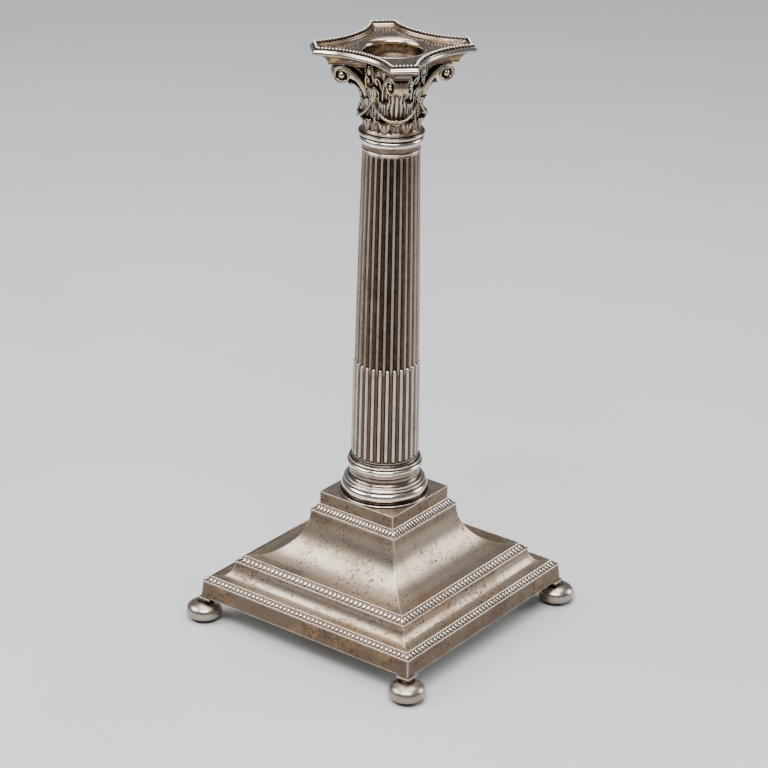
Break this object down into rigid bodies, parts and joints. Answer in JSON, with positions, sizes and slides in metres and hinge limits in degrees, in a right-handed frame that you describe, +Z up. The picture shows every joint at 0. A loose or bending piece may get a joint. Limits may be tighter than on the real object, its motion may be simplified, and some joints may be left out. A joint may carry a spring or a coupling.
{
  "type": "column candlestick",
  "caption": "Corinthian column candlestick in silver with a fluted shaft, a stepped square base with beaded borders, ball feet and a lift-out square nozzle.",
  "frame": {"origin": "on the surface the feet stand on, under the middle of the column", "axes": "+Z up along the column and out of the candle socket; X and Y along the sides of the square base"},
  "size_m": [0.149, 0.149, 0.3059],
  "materials": {
    "silver": "satin",
    "beaded_silver": "satin",
    "chased_silver": "satin",
    "foot_silver": "satin",
    "plated_sheet": "satin",
    "steel": "satin",
    "filler": "matte"
  },
  "bodies": {
    "stick": {"ball_feet": "foot_silver", "base_filler": "filler", "base_shell": "silver", "capital_abacus": "silver", "capital_bell": "silver", "capital_sleeve": "plated_sheet", "closing_plate": "plated_sheet", "column_base": "silver", "column_filler": "filler", "column_shaft": "silver", "corner_volutes": "chased_silver", "fleurons": "chased_silver", "foot_plates": "foot_silver", "garland_buttons": "chased_silver", "garlands": "chased_silver", "lower_acanthus": "chased_silver", "lower_bead_border": "beaded_silver", "middle_bead_border": "beaded_silver", "neck_collar": "silver", "plinth_block": "silver", "stop_reeds": "silver", "tie_nut": "steel", "tie_rod": "steel", "tie_washer": "steel", "upper_acanthus": "chased_silver", "upper_bead_border": "beaded_silver"},
    "nozzle": {"nozzle_socket": "silver", "nozzle_pan": "silver", "nozzle_rim": "silver", "nozzle_bead_border": "beaded_silver"}
  },
  "joints": [
    {"name": "nozzle_lift", "type": "slide", "parent": "stick", "child": "nozzle", "axis": [0, 0, 1], "range_m": [0, 0.035]}
  ]
}
